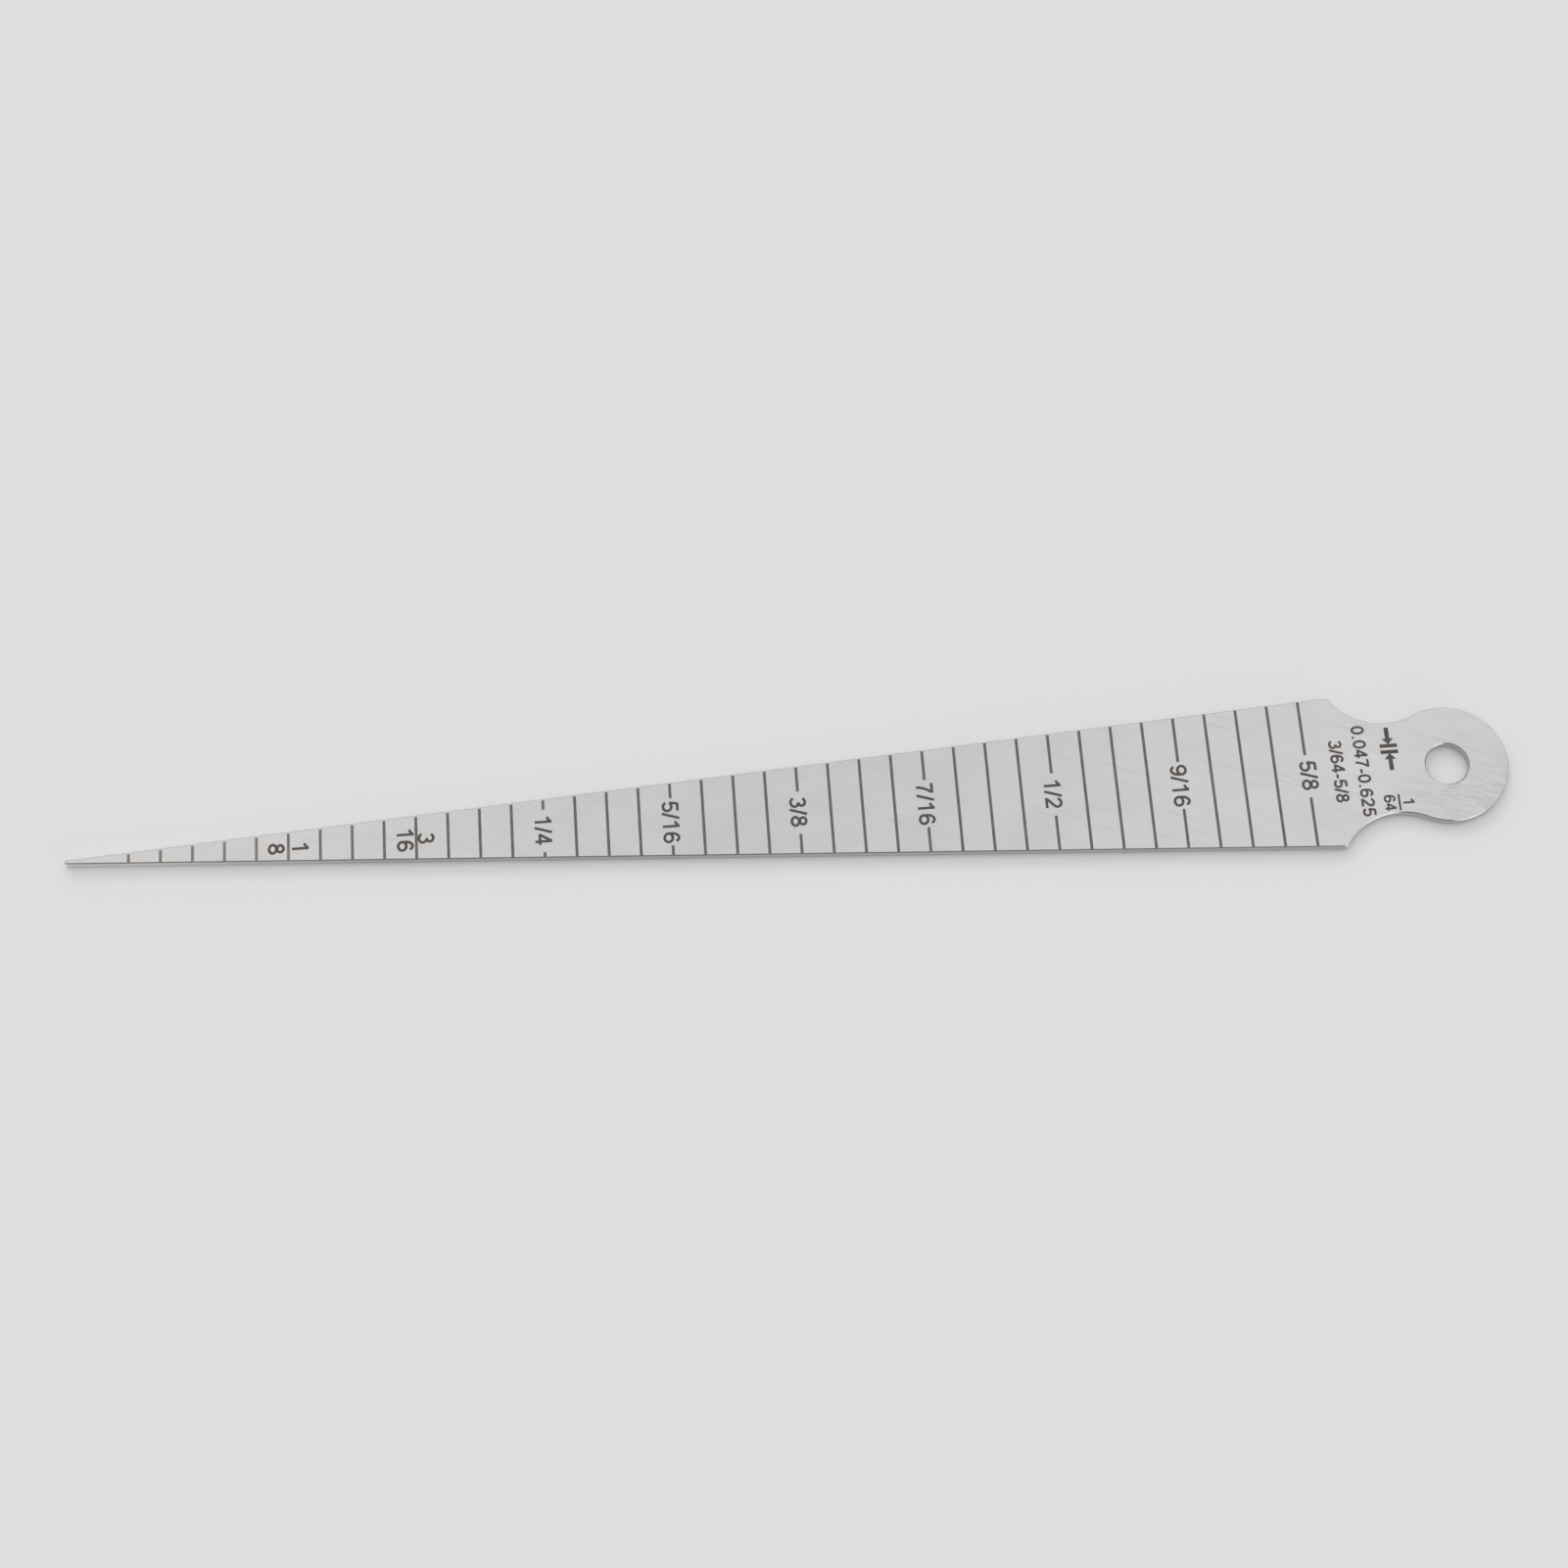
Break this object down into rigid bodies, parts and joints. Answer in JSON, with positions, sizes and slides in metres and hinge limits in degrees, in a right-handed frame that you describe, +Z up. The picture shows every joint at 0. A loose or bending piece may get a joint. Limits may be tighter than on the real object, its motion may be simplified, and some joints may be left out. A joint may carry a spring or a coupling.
{
  "type": "taper gauge",
  "caption": "Flat tapered steel gauge with a blunt tip, engraved width lines, a waisted neck and a round head with a hanging hole; it reads the width of a hole or slot.",
  "frame": {"origin": "middle of the part's box at its underside, the face that it lies on", "axes": "+X along the gauge from the tip to the head, +Y across the blade, +Z up out of the marked face"},
  "size_m": [0.1472, 0.0162, 0.001],
  "materials": {
    "steel": "satin brushed stainless steel",
    "etched_mark": "dark matt etched line and figure"
  },
  "bodies": {
    "root": {"taper_gauge": "steel"}
  },
  "joints": []
}
